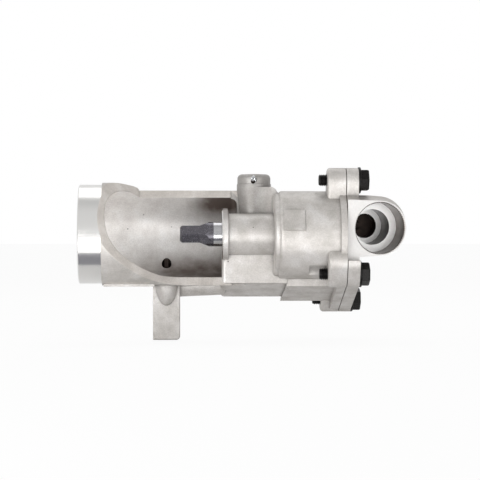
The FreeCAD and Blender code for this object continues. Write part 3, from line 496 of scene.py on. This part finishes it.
def join(pieces):
    """Joins pieces into the first of them."""
    bpy.ops.object.select_all(action="DESELECT")
    for piece in pieces:
        piece.select_set(True)
    bpy.context.view_layer.objects.active = pieces[0]
    bpy.ops.object.join()
    return pieces[0]


def copy_of(piece, place, turn=0.0):
    """A copy of a piece with its own mesh, turned about X and moved."""
    copy = piece.copy()
    copy.data = piece.data.copy()
    copy.location = place
    copy.rotation_euler = (math.radians(turn), 0.0, 0.0)
    bpy.context.scene.collection.objects.link(copy)
    return copy


# Cover bolt: six-sided head with a crown, flange, shank, and an open end with its thread. It is modelled once
# on the shaft's axis, its head apart from its stem, and copied to the four places
def thread_ridge():
    """The thread's ridge, a four-sided section wound along X."""
    bpy.ops.mesh.primitive_circle_add(
        vertices=4, radius=THREAD_HEIGHT * MM, rotation=(math.radians(90.0), 0.0, 0.0),
        location=((BOLT_END + THREAD_RUN_IN) * MM, 0.0, THREAD_CORE_RADIUS * MM),
    )
    ridge = bpy.context.object
    bpy.ops.object.transform_apply(location=True, rotation=True, scale=True)
    winding = ridge.modifiers.new("winding", "SCREW")
    winding.axis = "X"
    winding.screw_offset = THREAD_PITCH * MM
    winding.iterations = round((LUG_FACE - BOLT_END) / THREAD_PITCH)
    winding.steps = 32
    winding.render_steps = 32
    bpy.ops.object.modifier_apply(modifier=winding.name)
    bpy.ops.object.mode_set(mode="EDIT")
    bpy.ops.mesh.select_all(action="SELECT")
    bpy.ops.mesh.normals_make_consistent(inside=False)
    bpy.ops.object.mode_set(mode="OBJECT")
    return ridge


HEAD_START = COVER_FACE + FLANGE_THICK / 2
HEAD_TOP = COVER_FACE + HEAD_HEIGHT
FLANGE_TOP = COVER_FACE + FLANGE_THICK
head = rod_along_x(HEAD_CORNER_RADIUS, HEAD_START, HEAD_TOP, 6)
round_end(head, HEAD_TOP, HEAD_CROWN, 3)
flange = rod_along_x(FLANGE_RADIUS, COVER_FACE, FLANGE_TOP, 64)
round_end(flange, FLANGE_TOP, END_CHAMFER)
shank = rod_along_x(SHANK_RADIUS, LUG_FACE + OVERLAP, COVER_FACE + OVERLAP, 48)
core = rod_along_x(THREAD_CORE_RADIUS, BOLT_END, LUG_FACE + 2 * OVERLAP, 48)
round_end(core, BOLT_END, END_CHAMFER)
stem = join([flange, shank, core, thread_ridge()])
for bolt_name, (bolt_y, bolt_z, bolt_turn) in BOLT_PLACES.items():
    bolt_place = Vector((0.0, bolt_y, bolt_z)) * MM
    bolt = join([copy_of(head, bolt_place, bolt_turn), copy_of(stem, bolt_place)])
    finish_piece(bolt, "bolt_" + bolt_name, PHOSPHATE, "cover_bolt_" + bolt_name)
bpy.data.objects.remove(head)
bpy.data.objects.remove(stem)


# Split pin: an eye of bright wire in front of the boss, a shank through it and two legs bent apart behind
def wire_between(first, second, radius):
    """A round wire with rounded ends between two points in mm."""
    along = second - first
    bpy.ops.mesh.primitive_cylinder_add(
        vertices=20, radius=radius * MM, depth=along.length * MM, location=(first + second) / 2 * MM,
        rotation=along.to_track_quat("Z", "Y").to_euler(),
    )
    wire = bpy.context.object
    bpy.ops.object.transform_apply(location=True, rotation=True, scale=True)
    rounding = wire.modifiers.new("rounding", "BEVEL")
    rounding.width = 0.45 * radius * MM
    rounding.segments = 2
    rounding.limit_method = "ANGLE"
    bpy.ops.object.modifier_apply(modifier=rounding.name)
    return wire


bpy.ops.mesh.primitive_torus_add(
    major_radius=PIN_EYE_RADIUS * MM, minor_radius=PIN_WIRE_RADIUS * MM, major_segments=32, minor_segments=12,
    location=(PIN_PLACE + PIN_EYE_OFFSET) * MM, rotation=(0.0, math.radians(90.0), PIN_EYE_TURN),
)
pin_eye = bpy.context.object
bpy.ops.object.transform_apply(location=True, rotation=True, scale=True)

# The hole's mouth round the pin, a shallow black cup: painted shade in the hole
bpy.ops.mesh.primitive_cylinder_add(
    vertices=40, radius=PIN_HOLE_RADIUS * MM, depth=PIN_HOLE_DEEP * MM,
    location=(PIN_PLACE + PIN_HOLE_OFFSET) * MM, rotation=(math.radians(90.0), 0.0, 0.0),
)
pin_hole = bpy.context.object
bpy.ops.object.transform_apply(location=True, rotation=True, scale=True)
for face in pin_hole.data.polygons:
    face.select = face.normal.y < -0.9
bpy.ops.object.mode_set(mode="EDIT")
bpy.ops.mesh.select_mode(type="FACE")
bpy.ops.mesh.inset(thickness=PIN_HOLE_RIM * MM, depth=-PIN_HOLE_SUNK * MM)
bpy.ops.object.mode_set(mode="OBJECT")
pin_hole.name = "painted_shade_pin_cup"
pin_hole.data.materials.append(SHADED_DEEP_BORE)
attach(pin_hole, "housing")
bpy.ops.object.select_all(action="DESELECT")

pin_back = PIN_PLACE + Vector((0.0, PIN_LENGTH, 0.0))
pin_parts = [pin_eye, wire_between(PIN_PLACE, pin_back, PIN_RADIUS)]
for side in (-1, 1):
    leg_root = pin_back + Vector((0.0, -PIN_LEG_IN, side * PIN_LEG_ROOT))
    leg_end = pin_back + Vector((0.0, PIN_LEG_OUT, side * PIN_LEG_SPREAD))
    pin_parts.append(wire_between(leg_root, leg_end, PIN_WIRE_RADIUS))
finish_piece(join(pin_parts), "bent_split_pin", ZINC, "split_pin")


# Camera
def aim(thing, target):
    thing.rotation_euler = (target - thing.location).to_track_quat("-Z", "Y").to_euler()


camera_data = bpy.data.cameras.new("camera")
camera_data.lens = FOCAL_MM
camera_data.sensor_width = SENSOR_MM
camera_data.clip_start = 0.05
camera_data.clip_end = 100.0
camera = bpy.data.objects.new("camera", camera_data)
from_aim = Vector((-math.sin(CAMERA_TURN), -math.cos(CAMERA_TURN), 0.0))
camera.location = CAMERA_AIM + CAMERA_DISTANCE * from_aim
aim(camera, CAMERA_AIM)
bpy.context.scene.collection.objects.link(camera)
bpy.context.scene.camera = camera


# Floor, backdrop colour and lamps
def seen_share(tree, to_camera, in_shine):
    """A share for rays from the camera and another for what polished or clear surfaces show, 0 otherwise."""
    ray = add_node(tree, "ShaderNodeLightPath").outputs
    shiny_rays = (ray["Is Glossy Ray"], ray["Is Transmission Ray"])
    any_shine = add_node(tree, "ShaderNodeMath", shiny_rays, operation="MAXIMUM")
    shine = add_node(tree, "ShaderNodeMath", (any_shine, in_shine), operation="MULTIPLY")
    direct = add_node(tree, "ShaderNodeMath", (ray["Is Camera Ray"], to_camera), operation="MULTIPLY")
    return add_node(tree, "ShaderNodeMath", (direct, shine), operation="MAXIMUM")


def floor_material():
    material = new_material("pale_studio_floor")
    tree = material.node_tree
    paper = add_node(tree, "ShaderNodeBsdfDiffuse", {"Color": linear("#FAFAFA")})
    glow = add_node(tree, "ShaderNodeEmission", {"Color": linear("#FFFFFF"), "Strength": 1.0})
    mixed = add_node(tree, "ShaderNodeMixShader", (seen_share(tree, 0.93, 0.1), paper, glow))
    add_node(tree, "ShaderNodeOutputMaterial", {"Surface": mixed})
    return material


bpy.ops.mesh.primitive_plane_add(size=60.0, location=(0.1, 0.0, FLOOR_HEIGHT))
floor = bpy.context.object
floor.name = "studio_floor"
floor.data.materials.append(floor_material())

# A grey card lies below the pump's front: a glowing painted shadow in place of the pump's own shadow on the
# floor. Only what shines shows it, as the dark stripe along the collar
bpy.ops.mesh.primitive_plane_add(size=1.0, location=(0.1, CARD_MIDDLE_Y, FLOOR_HEIGHT + CARD_RISE))
card = bpy.context.object
card.name = "painted_shadow_card"
bpy.ops.transform.resize(value=(0.5, CARD_DEPTH, 1.0))
bpy.ops.object.transform_apply(location=True, rotation=True, scale=True)
card.visible_camera = False
card.visible_shadow = False
card.visible_diffuse = False
card_paper = new_material("painted_shadow_card_glow")
card_tree = card_paper.node_tree
card_shadow_glow = add_node(card_tree, "ShaderNodeEmission", {"Color": linear("#8A8A90"), "Strength": 1.0})
add_node(card_tree, "ShaderNodeOutputMaterial", {"Surface": card_shadow_glow})
card.data.materials.append(card_paper)

world = bpy.data.worlds.new("studio")
bpy.context.scene.world = world
world.use_nodes = True
sky = world.node_tree
sky.nodes.clear()
view = add_node(sky, "ShaderNodeTexCoord").outputs["Generated"]
direction = add_node(sky, "ShaderNodeSeparateXYZ", {"Vector": view}).outputs
# Turned from the camera's side (0) up over the pump (a half) to behind it (1)
nearer = add_node(sky, "ShaderNodeMath", (direction["Y"], -1.0), operation="MULTIPLY")
rise = add_node(sky, "ShaderNodeMath", (direction["Z"], nearer), operation="ARCTAN2")
over = add_node(sky, "ShaderNodeMath", (rise, math.pi), operation="DIVIDE")
# The room is pale on the camera's side, greyer at its ceiling and palest behind the pump
room = add_node(sky, "ShaderNodeValToRGB", (over,), {
    0.0: "#C4C4C4", 0.03: "#DEDEDE", 0.30: "#D8D8D8", 0.46: "#A8A8A8", 0.54: "#E4E4E4", 1.0: "#ECECEC",
})
surround = add_node(sky, "ShaderNodeBackground", {"Color": room, "Strength": 0.85})
backdrop = add_node(sky, "ShaderNodeBackground", {"Color": linear("#FFFFFF"), "Strength": 1.0})
blend = add_node(sky, "ShaderNodeMixShader", (seen_share(sky, 1.0, 0.35), surround, backdrop))
add_node(sky, "ShaderNodeOutputWorld", {"Surface": blend})


def soft_box(name, place, width, height, watts, facing_up=False):
    """An oblong lamp that faces the pump, or lies low and faces up; the camera doesn't see it."""
    data = bpy.data.lights.new(name, "AREA")
    data.shape = "RECTANGLE"
    data.size = width
    data.size_y = height
    data.energy = watts
    lamp = bpy.data.objects.new(name, data)
    lamp.location = place
    if facing_up:
        lamp.rotation_euler = (math.pi, 0.0, 0.0)
    else:
        aim(lamp, CAMERA_AIM)
    lamp.visible_camera = False
    bpy.context.scene.collection.objects.link(lamp)


soft_box("overhead_softbox", Vector((0.1, 0.45, 1.0)), 1.4, 0.8, 3.0)
soft_box("front_softbox", Vector((0.52, -0.86, -0.06)), 0.5, 0.4, 1.5)
soft_box("left_softbox", Vector((-0.30, -0.65, -0.07)), 0.4, 0.2, 3.4)
soft_box("table_softbox", Vector((0.0, -0.195, -0.064)), 0.6, 0.21, 0.85, facing_up=True)
